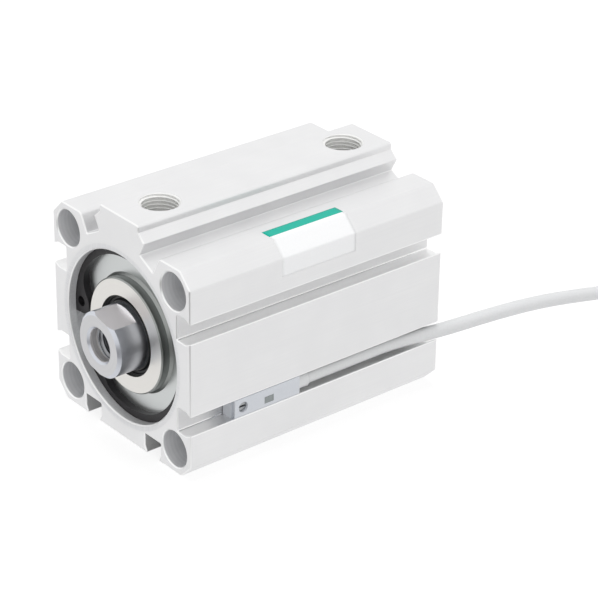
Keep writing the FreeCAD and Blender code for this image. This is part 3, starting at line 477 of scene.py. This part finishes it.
# Finishes, each under a comment on what it gives the eye. Those of the solids bear their slots' names
FINISHES = {
    # Pale satin extrusion, faintly lined along its length, with edges painted paler as highlights and slot
    # walls painted paler as light
    "anodised_aluminium": anodised_aluminium(),
    # Soft warm sheen in rings on its faces, grey walls and a flange tinted cooler and darker as painted
    # shade
    "turned_aluminium": turned_metal("turned_aluminium", "#dedcd8", "#e8e6e2", wall="#9a9d9b",
                                     roughness=0.34, feed=0.5 * MM, flange="#e9eef2"),
    # Freshly cut turns of thread, light and a little uneven
    "tapped_aluminium": grained("tapped_aluminium", "#eaeae8", "#fbfbfa", grain=0.5 * MM,
                                roughness=0.40, relief=0.05, metallic=0.5),
    # Plain turned faces, a little darker than the covers
    "piston_aluminium": turned_metal("piston_aluminium", "#c4c5c7", "#d6d7d9", wall="#c9cacc",
                                     roughness=0.34, feed=0.5 * MM),
    # Cool grey steel with a soft mirror round the rod, matt flats, shoulders painted white as a highlight
    # and a ringed hole
    "ground_steel": turned_metal("ground_steel", "#c8c8ca", "#d4d4d5", wall="#cfd2d9",
                                 roughness=0.36, feed=0.6 * MM, rod_end=True),
    # Steel of a tapped hole, painted darker as shade in the hole, with a glint along each turn
    "cut_steel": turned_metal("cut_steel", "#9b9c9f", "#b0b1b3", wall="#94969a",
                              roughness=0.32, feed=0.4 * MM),
    # Nearly black coated ring with a dull metallic sheen
    "spring_steel": grained("phosphated_spring_steel", "#232224", "#353335", grain=0.4 * MM,
                            roughness=0.42, relief=0.10, metallic=0.6),
    # Black and soft, with a broad dull highlight
    "black_rubber": grained("nitrile_rubber", "#0e0e0f", "#19191a", grain=0.3 * MM,
                            roughness=0.48, relief=0.12),
    # Warm yellow-brown bearing metal in fine rings
    "bearing_bronze": turned_metal("bearing_bronze", "#a37a45", "#b88f58", wall="#ad8450",
                                   roughness=0.32, feed=0.4 * MM),
    # Dark grey and dry, like pressed powder
    "bonded_magnet": grained("bonded_ferrite", "#2a2a2c", "#38383a", grain=0.3 * MM,
                             roughness=0.55, relief=0.15),
    # Creamy, slightly waxy plastic
    "guide_plastic": grained("acetal", "#d9d3bf", "#e4dfce", grain=0.5 * MM,
                             roughness=0.45, relief=0.06),
    # Cool light grey moulding with a fine matt grain
    "switch_plastic": grained("moulded_polyester", "#ced2d8", "#dadde3", grain=0.25 * MM,
                              roughness=0.44, relief=0.10),
    # Small grey screw with a satin head, whose face takes the wall tone and is painted lighter as a
    # highlight
    "screw_steel": turned_metal("screw_steel", "#7c7e80", "#96989a", wall="#a6a8aa",
                                roughness=0.30, feed=0.3 * MM),
    # Grey glossy window
    "indicator_plastic": clear_acrylic(),
    # Deep green lacquered board, slightly uneven
    "circuit_board": grained("glass_epoxy_board", "#14532a", "#1d6a38", grain=0.4 * MM,
                             roughness=0.35, relief=0.10),
    # Black, smooth and glossy, as it set
    "potting_resin": grained("epoxy_potting", "#151517", "#202023", grain=0.8 * MM,
                             roughness=0.25, relief=0.05),
    # Light grey jacket, smooth with a soft highlight along it
    "cable_jacket": grained("grey_pvc", "#d6d7d8", "#e0e1e2", grain=0.5 * MM,
                            roughness=0.46, relief=0.08),
    # Off-white and slightly waxy
    "tie_plastic": grained("nylon", "#dedcd3", "#e8e6de", grain=0.5 * MM,
                           roughness=0.42, relief=0.06),
    # Brown insulation with a slight gloss
    "core_brown": grained("brown_pvc", "#4b2a17", "#5c3620", grain=0.4 * MM,
                          roughness=0.40, relief=0.06),
    # Blue insulation with a slight gloss
    "core_blue": grained("blue_pvc", "#1f4f9e", "#2a5fb4", grain=0.4 * MM,
                         roughness=0.40, relief=0.06),
    # Bright red-brown strands
    "copper": grained("bare_copper", "#b8713f", "#cf8a58", grain=0.2 * MM,
                      roughness=0.28, relief=0.10, metallic=1.0),
    # White film with a green band
    "label": printed_vinyl(),
}


def dress(piece, finish):
    """Gives a piece one of the finishes."""
    piece.data.materials.clear()
    piece.data.materials.append(FINISHES[finish])
    return piece


def place_piece(name, data):
    """Puts a mesh, curve, camera or lamp into the scene as an object."""
    piece = bpy.data.objects.new(name, data)
    bpy.context.scene.collection.objects.link(piece)
    return piece


def surface(name, points, closed_u=False, closed_v=False):
    """Mesh over a grid of points: each cell of rows u and columns v is one quad.

    A closed way joins its last row or column to its first.
    """
    rows, columns = points.shape[:2]
    u = np.arange(rows if closed_u else rows - 1)
    v = np.arange(columns if closed_v else columns - 1)
    u, v = np.meshgrid(u, v, indexing="ij")
    u_next = (u + 1) % rows
    v_next = (v + 1) % columns
    corners = [u * columns + v, u_next * columns + v, u_next * columns + v_next, u * columns + v_next]
    quads = np.stack(corners, axis=-1).reshape(-1, 4)
    mesh = bpy.data.meshes.new(name)
    mesh.from_pydata(points.reshape(-1, 3).tolist(), [], quads.tolist())
    mesh.shade_smooth()
    return place_piece(name, mesh)


def cross(first, second):
    """Cross product of rows of plane vectors."""
    return first[:, 0] * second[:, 1] - first[:, 1] * second[:, 0]


def rounded_outline(points, triangles, place, inward):
    """Rounds the outer edge of the end face that lies at one place along Y.

    Each outline point has an inset point, where its two sides meet when both are moved inwards by the
    round's radius. Rows of a quarter circle lead from the side, a radius deep, to the inset point, and
    the end face is filled anew between the inset points and its holes: a triangle of the fill is solid
    where a line to its right meets an odd number of sides. Very short sides belong to rounds smaller
    than this one, so the sides before and after them are taken instead.
    """
    at_end = np.abs(points[:, 1] - place) < MERGE_REACH
    walls = triangles[~at_end[triangles].all(axis=1)]
    sides = np.concatenate([walls[:, [0, 1]], walls[:, [1, 2]], walls[:, [2, 0]]])
    owner = np.tile(np.arange(len(walls)), 3)
    on_rim = at_end[sides].all(axis=1)
    sides = sides[on_rim]
    corner = points[walls[owner[on_rim]]]
    facing = np.cross(corner[:, 1] - corner[:, 0], corner[:, 2] - corner[:, 0])
    facing /= np.linalg.norm(facing, axis=1)[:, None]
    upright = np.abs(facing[:, 1]) < UPRIGHT_LIMIT
    start, stop = sides[upright].T
    hole_sides = sides[~upright]
    into = -facing[upright][:, [0, 2]]

    flat = points[:, [0, 2]]
    along = flat[stop] - flat[start]
    length = np.linalg.norm(along, axis=1)
    along /= length[:, None]
    count = len(start)
    arriving = np.zeros(len(points), int)
    leaving = np.zeros(len(points), int)
    arriving[stop] = np.arange(count)
    leaving[start] = np.arange(count)
    before = arriving[start]
    after = np.arange(count)
    for step in range(SMALL_ROUND_SIDES):
        before = np.where(length[before] < SMALL_SIDE, arriving[start[before]], before)
        after = np.where(length[after] < SMALL_SIDE, leaving[stop[after]], after)
    line_before = flat[start[before]] + BROKEN_EDGE * into[before]
    line_after = flat[start[after]] + BROKEN_EDGE * into[after]
    turn = cross(along[before], along[after])
    bent = np.abs(turn) > STRAIGHT_LIMIT
    way = cross(line_after - line_before, along[after]) / np.where(bent, turn, 1)
    inset = np.where(bent[:, None], line_before + way[:, None] * along[before],
                     flat[start] + BROKEN_EDGE * into[after])

    angle = np.linspace(0, math.pi / 2, ROUND_ROWS + 1)
    rows = np.empty((ROUND_ROWS + 1, count, 3))
    rows[..., [0, 2]] = flat[start] + (inset - flat[start]) * (1 - np.cos(angle))[:, None, None]
    rows[..., 1] = place + inward * BROKEN_EDGE * (1 - np.sin(angle))[:, None]
    index = np.vstack([start, len(points) + np.arange(ROUND_ROWS * count).reshape(ROUND_ROWS, count)])
    points[start] = rows[0]
    points = np.vstack([points, rows[1:].reshape(-1, 3)])
    follow = leaving[stop]
    near, far = index[:-1], index[1:]
    strip = np.concatenate([
        np.stack([near[:, follow], near, far], axis=-1).reshape(-1, 3),
        np.stack([near[:, follow], far, far[:, follow]], axis=-1).reshape(-1, 3)])

    rim = np.concatenate([np.stack([index[-1], index[-1][follow]], axis=-1), hole_sides])
    used, rim = np.unique(rim, return_inverse=True)
    flat = points[used][:, [0, 2]]
    rim = rim.reshape(-1, 2)
    filled = delaunay_2d_cdt(flat.tolist(), rim.tolist(), [], FILL_INSIDE, MERGE_REACH)
    first = np.array([same[0] for same in filled[3]])
    fill = first[np.array(filled[2])]
    middle = flat[fill].mean(axis=1)[:, None, :]
    low, high = flat[rim[:, 0]], flat[rim[:, 1]]
    beside = (low[:, 1] > middle[..., 1]) != (high[:, 1] > middle[..., 1])
    rise = np.where(low[:, 1] == high[:, 1], 1, high[:, 1] - low[:, 1])
    meets = low[:, 0] + (middle[..., 1] - low[:, 1]) / rise * (high[:, 0] - low[:, 0])
    solid = (beside & (meets > middle[..., 0])).sum(axis=1) % 2 == 1
    end_face = used[fill[solid]][:, ::inward]
    return points, np.concatenate([walls, strip, end_face])


def merge_doubles(mesh):
    """Joins the points of a mesh that lie in one place."""
    form = bmesh.new()
    form.from_mesh(mesh)
    bmesh.ops.remove_doubles(form, verts=form.verts, dist=MERGE_REACH)
    form.to_mesh(mesh)
    form.free()


def point_places(mesh):
    """Places of a mesh's points, one row each."""
    places = np.empty((len(mesh.vertices), 3))
    mesh.vertices.foreach_get("co", places.ravel())
    return places


def rounded_ends(node_name):
    """Copy of the body's mesh with the outer edges of its two ends broken by a fine round.

    The shading is smooth, but sharp where two faces meet at a wide angle and along both sides of the
    rounds, so that the flat faces stay flat.
    """
    mesh = nodes[node_name].data.copy()
    mesh.attributes.remove(mesh.attributes["custom_normal"])
    merge_doubles(mesh)
    points = point_places(mesh)
    triangles = np.empty((len(mesh.polygons), 3), int)
    mesh.loops.foreach_get("vertex_index", triangles.ravel())
    ends = points[:, 1].min(), points[:, 1].max()
    points, triangles = rounded_outline(points, triangles, ends[0], 1)
    points, triangles = rounded_outline(points, triangles, ends[1], -1)
    mesh = bpy.data.meshes.new(node_name + "_rounded")
    mesh.from_pydata(points.tolist(), [], triangles.tolist())
    merge_doubles(mesh)

    mesh.shade_smooth()
    mesh.set_sharp_from_angle(angle=SHARP_ANGLE)
    pairs = np.empty((len(mesh.edges), 2), int)
    sharp = np.empty(len(mesh.edges), bool)
    mesh.edges.foreach_get("vertices", pairs.ravel())
    mesh.edges.foreach_get("use_edge_sharp", sharp)
    along = point_places(mesh)[pairs][..., 1]
    for row in (ends[0], ends[0] + BROKEN_EDGE, ends[1] - BROKEN_EDGE, ends[1]):
        sharp |= (np.abs(along - row) < MERGE_REACH).all(axis=1)
    mesh.edges.foreach_set("use_edge_sharp", sharp)
    return place_piece(node_name + "_rounded", mesh)


def thread_liner(name, mouth, inward, across, thread):
    """Tapped wall of a hole, as a closed sleeve.

    At depth d and angle a the phase is d over the pitch plus a over a full turn. The radius falls
    from the largest to the smallest as a trapezium of that phase, and a cone opens the first turns.
    The sleeve's outside is a plain wall a little deeper than the largest radius.
    """
    major, minor, pitch = thread["major"], thread["minor"], thread["pitch"]
    rows = int((thread["end"] - thread["start"]) / pitch * THREAD_PER_PITCH)
    depth = np.linspace(thread["start"], thread["end"], rows)
    angle = np.linspace(0, 2 * np.pi, THREAD_AROUND, endpoint=False)
    depth_grid, angle_grid = np.meshgrid(depth, angle)
    phase = (depth_grid / pitch + angle_grid / (2 * np.pi)) % 1
    from_crest = np.abs(2 * phase - 1)
    flank = 1 - THREAD_ROOT - THREAD_CREST
    height = np.clip((1 - THREAD_ROOT - from_crest) / flank, 0, 1)
    radius = major - height * (major - minor)
    cone = major - (depth_grid - thread["start"])
    radius = np.maximum(radius, cone)
    outside = np.full((THREAD_AROUND, 2), major + THREAD_SEAT)
    ends = np.tile([thread["end"], thread["start"]], (THREAD_AROUND, 1))
    radius = np.hstack([radius, outside])
    depth_grid = np.hstack([depth_grid, ends])
    inward = np.array(inward, float)
    across = np.array(across, float)
    third = np.cross(inward, across)
    around = np.cos(angle)[:, None] * across - np.sin(angle)[:, None] * third
    points = np.array(mouth) + depth_grid[..., None] * inward + radius[..., None] * around[:, None, :]
    return surface(name, points, closed_u=True, closed_v=True)


def corner_profile():
    """Label's line round the body's corner: flat top, round, chamfer, round, then down the side.

    Each round is an arc whose centre lies its radius inside the two faces that it joins.
    """
    lift = BODY_HALF + LABEL_LIFT
    radius = CORNER_ROUND + LABEL_LIFT
    reach = CORNER_ROUND * math.tan(math.pi / 8)
    upper = np.array([BODY_HALF - CORNER_CHAMFER - reach, BODY_HALF - CORNER_ROUND])
    lower = upper[::-1]
    upper_angle = np.linspace(math.pi / 2, math.pi / 4, LABEL_ARC_POINTS)
    lower_angle = np.linspace(math.pi / 4, 0, LABEL_ARC_POINTS)
    upper_arc = upper + radius * np.stack([np.cos(upper_angle), np.sin(upper_angle)], axis=-1)
    lower_arc = lower + radius * np.stack([np.cos(lower_angle), np.sin(lower_angle)], axis=-1)
    top = np.linspace((LABEL_TOP_EDGE, lift), upper_arc[0], LABEL_FLAT_POINTS)[:-1]
    side = np.linspace(lower_arc[-1], (lift, LABEL_LOW_EDGE), LABEL_FLAT_POINTS)[1:]
    return np.vstack([top, upper_arc, lower_arc, side])


def label():
    """Film over the corner: the corner's line carried along Y and given its thickness outwards."""
    line = corner_profile()
    along = np.linspace(LABEL_FRONT, LABEL_REAR, LABEL_ROWS)
    points = np.empty((len(along), len(line), 3))
    points[..., 0] = line[:, 0]
    points[..., 1] = along[:, None]
    points[..., 2] = line[:, 1]
    film = surface("corner_label", points)
    thick = film.modifiers.new("film", "SOLIDIFY")
    thick.thickness = LABEL_THICK
    thick.offset = 1.0
    return film


def coil_points():
    """Control points of the coil: radius and height are functions of the number of turns made.

    Each row is a circle. Within a fifth of a turn the cable moves over to the next row, or climbs to
    the next layer, by a smooth step of three times the share squared less twice its cube. The points
    lie a little outside their circle, because the cable's line passes inside its control points.
    """
    start = np.array(CABLE_ROUTE[-1])
    turn = np.arange(1, int(COIL_TURNS * COIL_POINTS_PER_TURN) + 1) / COIL_POINTS_PER_TURN

    def made(begin):
        share = np.clip((turn - begin) / COIL_STEP_TURNS, 0, 1)
        return 3 * share ** 2 - 2 * share ** 3

    steps_in = sum(made(begin) for begin in COIL_STEPS_IN)
    steps_out = sum(made(begin) for begin in COIL_STEPS_OUT)
    radius = COIL_OUTER_RADIUS + COIL_PITCH * (steps_out - steps_in)
    height = start[2] + sum(rise * made(begin) for begin, rise in COIL_CLIMBS)
    wide = radius / math.cos(math.pi / COIL_POINTS_PER_TURN)
    angle = 2 * math.pi * turn
    x = start[0] - COIL_OUTER_RADIUS + wide * np.cos(angle)
    y = start[1] + wide * np.sin(angle)
    return np.stack([x, y, height], axis=-1)


def cable():
    """Jacketed cable on one smooth spline: along the slot, over the edge, coil and loose end."""
    turns = coil_points()
    middle = np.array(CABLE_ROUTE[-1]) - (COIL_OUTER_RADIUS, 0, 0)
    tail = np.array([(*(middle[:2] + step), turns[-1][2]) for step in TAIL_STEPS])
    points = np.vstack([CABLE_ROUTE, turns, tail]) * MM
    curve = bpy.data.curves.new("switch_cable_jacket", "CURVE")
    curve.dimensions = "3D"
    curve.bevel_depth = CABLE_DIAMETER / 2
    curve.bevel_resolution = CABLE_AROUND
    curve.resolution_u = CABLE_ALONG
    curve.use_fill_caps = True
    spline = curve.splines.new("NURBS")
    spline.points.add(len(points) - 1)
    spline.points.foreach_set("co", np.hstack([points, np.ones((len(points), 1))]).ravel())
    spline.order_u = CABLE_ORDER
    spline.use_endpoint_u = True
    return place_piece("switch_cable_jacket", curve)


def coil_tie():
    """Strap round the bundle: a rounded box as path, with a flat section across it.

    The path is a rectangle shrunk by its corner radius and pushed out again along the angle.
    """
    low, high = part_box("coil_tie")
    middle = np.array((low + high) / 2)
    half = np.array((high - low) / 2)[1:] - TIE_THICK / 2
    angle = np.linspace(0, -2 * np.pi, TIE_AROUND, endpoint=False)
    out = np.stack([np.cos(angle), np.sin(angle)], axis=-1)
    path = np.sign(np.round(out, 9)) * (half - TIE_ROUND) + TIE_ROUND * out
    section = np.array([(-1, -1), (1, -1), (1, 1), (-1, 1)]) / 2 * (TIE_WIDTH, TIE_THICK)
    points = np.empty((len(angle), len(section), 3))
    points[..., 0] = middle[0] + section[:, 0]
    points[..., 1:] = middle[1:] + path[:, None, :] + section[:, 1][None, :, None] * out[:, None, :]
    strap = surface("coil_tie_strap", points, closed_u=True, closed_v=True)
    strap.data.set_sharp_from_angle(angle=SHARP_ANGLE)
    return strap


def place_camera():
    """Camera on a sphere round the target, stepped aside and rolled as in the photograph."""
    azimuth = math.radians(CAMERA_AZIMUTH)
    elevation = math.radians(CAMERA_ELEVATION)
    roll = math.radians(CAMERA_ROLL)
    back = Vector((math.sin(azimuth) * math.cos(elevation), -math.cos(azimuth) * math.cos(elevation),
                   math.sin(elevation)))
    level = Vector((0, 0, 1)).cross(back).normalized()
    upright = back.cross(level)
    right = level * math.cos(roll) + upright * math.sin(roll)
    up = upright * math.cos(roll) - level * math.sin(roll)
    place = CAMERA_TARGET + back * CAMERA_DISTANCE + right * CAMERA_SIDE_STEP + up * CAMERA_UP_STEP
    data = bpy.data.cameras.new("camera")
    data.lens = CAMERA_LENS
    data.sensor_width = CAMERA_SENSOR
    turn = Matrix((right, up, back)).transposed().to_4x4()
    camera = place_piece("camera", data)
    camera.matrix_world = Matrix.Translation(place) @ turn
    bpy.context.scene.camera = camera


def ray_kinds(tree):
    """Whether a ray comes from the camera or a clear piece, and whether it comes from a gloss."""
    path = add(tree, "ShaderNodeLightPath")
    seen = add(tree, "ShaderNodeMath", {
        0: path.outputs["Is Camera Ray"], 1: path.outputs["Is Transmission Ray"]}, operation="MAXIMUM")
    return seen, path.outputs["Is Glossy Ray"]


def floor():
    """Plain white floor under the body: it shows white, keeps the shadow and sheds soft light.

    Metal mirrors it as a white sheet that falls off into the dark at the front right, and that lies in
    the dark under the body.
    """
    corner = np.array([-FLOOR_HALF, FLOOR_HALF])
    x, y = np.meshgrid(corner, corner, indexing="ij")
    ground = surface("floor", np.stack([x, y, np.full_like(x, -BODY_HALF)], axis=-1))
    material, tree, place = new_material("white_floor")
    glow = add(tree, "ShaderNodeEmission", {"Color": (1, 1, 1, 1), "Strength": FLOOR_GLOW})
    shade = add(tree, "ShaderNodeBsdfDiffuse", {"Color": (FLOOR_TONE, FLOOR_TONE, FLOOR_TONE, 1)})
    shown = add(tree, "ShaderNodeAddShader", {0: glow, 1: shade})

    split = add(tree, "ShaderNodeSeparateXYZ", {"Vector": place.outputs["Object"]})
    right = add(tree, "ShaderNodeMapRange", {
        "Value": split.outputs["X"], "From Min": DARK_TO_RIGHT[0], "From Max": DARK_TO_RIGHT[1]})
    front = add(tree, "ShaderNodeMapRange", {
        "Value": split.outputs["Y"], "From Min": DARK_TO_FRONT[0], "From Max": DARK_TO_FRONT[1]})
    front_right = add(tree, "ShaderNodeMath", {0: right, 1: front}, operation="MULTIPLY")
    mirrored = add(tree, "ShaderNodeMapRange", {
        "Value": front_right, "To Min": FLOOR_MIRRORED, "To Max": FLOOR_MIRRORED * (1 - FRONT_RIGHT_DARK)})
    aside = add(tree, "ShaderNodeMath", {0: split.outputs["X"]}, operation="ABSOLUTE")
    under_width = add(tree, "ShaderNodeMath", {0: aside, 1: COVERED_HALF}, operation="LESS_THAN")
    under_length = add(tree, "ShaderNodeMath", {
        0: split.outputs["Y"], **span(0.0, BODY_LENGTH)}, operation="COMPARE")
    covered = add(tree, "ShaderNodeMath", {0: under_width, 1: under_length}, operation="MULTIPLY")
    shaded = add(tree, "ShaderNodeMix", {"Factor": covered, "A": mirrored, "B": FLOOR_COVERED})
    sheet = add(tree, "ShaderNodeEmission", {"Color": (1, 1, 1, 1), "Strength": shaded})
    plain = add(tree, "ShaderNodeBsdfDiffuse", {"Color": (FLOOR_BOUNCE, FLOOR_BOUNCE, FLOOR_BOUNCE, 1)})

    seen, glossy = ray_kinds(tree)
    unseen = add(tree, "ShaderNodeMixShader", {0: glossy, 1: plain, 2: sheet})
    shader = add(tree, "ShaderNodeMixShader", {0: seen, 1: unseen, 2: shown})
    add(tree, "ShaderNodeOutputMaterial", {"Surface": shader})
    ground.data.materials.append(material)


def world():
    """White surroundings: one strength for the camera, one for what metal mirrors, one as light."""
    sky = bpy.data.worlds.new("studio")
    sky.use_nodes = True
    tree = sky.node_tree
    tree.nodes.clear()
    seen, glossy = ray_kinds(tree)
    unseen = add(tree, "ShaderNodeMapRange", {"Value": glossy, "To Min": SKY_LIGHT, "To Max": SKY_MIRRORED})
    strength = add(tree, "ShaderNodeMix", {"Factor": seen, "A": unseen, "B": 1.0})
    light = add(tree, "ShaderNodeBackground", {"Color": (1, 1, 1, 1), "Strength": strength})
    add(tree, "ShaderNodeOutputWorld", {"Surface": light})
    bpy.context.scene.world = sky


def lamp(name, place, size, power):
    """Square soft lamp that faces the body's middle. Metal mirrors the sky and floor instead of it."""
    data = bpy.data.lights.new(name, "AREA")
    data.size = size
    data.energy = power
    light = place_piece(name, data)
    light.location = place
    light.visible_glossy = False
    aim = CAMERA_TARGET - Vector(place)
    light.rotation_euler = aim.to_track_quat("-Z", "Y").to_euler()


slots = {entry["node"]: entry["material_slot"] for entry in frame["record"]["subparts"]}
for node_name, node in nodes.items():
    dress(node, slots[node_name])

body = rounded_ends("cylinder_body")
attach(dress(body, "anodised_aluminium"), "barrel")
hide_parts("cylinder_body")

jacket = cable()
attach(dress(jacket, "cable_jacket"), "switch")
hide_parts("switch_cable", "cable_coil", "cable_tail")

strap = coil_tie()
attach(dress(strap, "tie_plastic"), "switch")
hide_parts("coil_tie")

rod_thread = thread_liner("rod_end_thread", (0, ROD_END, 0), (0, 1, 0), (1, 0, 0), ROD_THREAD)
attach(dress(rod_thread, "cut_steel"), "rod")
for thread_name, port_y in PORT_PLACES.items():
    port_thread = thread_liner(thread_name, (0, port_y, RAIL_TOP), (0, 0, -1), (1, 0, 0), PORT_THREAD)
    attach(dress(port_thread, "tapped_aluminium"), "barrel")

film = label()
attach(dress(film, "label"), "barrel")

floor()
world()
for lamp_name, (lamp_place, lamp_size, lamp_power) in LAMPS.items():
    lamp(lamp_name, lamp_place, lamp_size, lamp_power)
place_camera()
bpy.context.scene.view_settings.view_transform = "Standard"
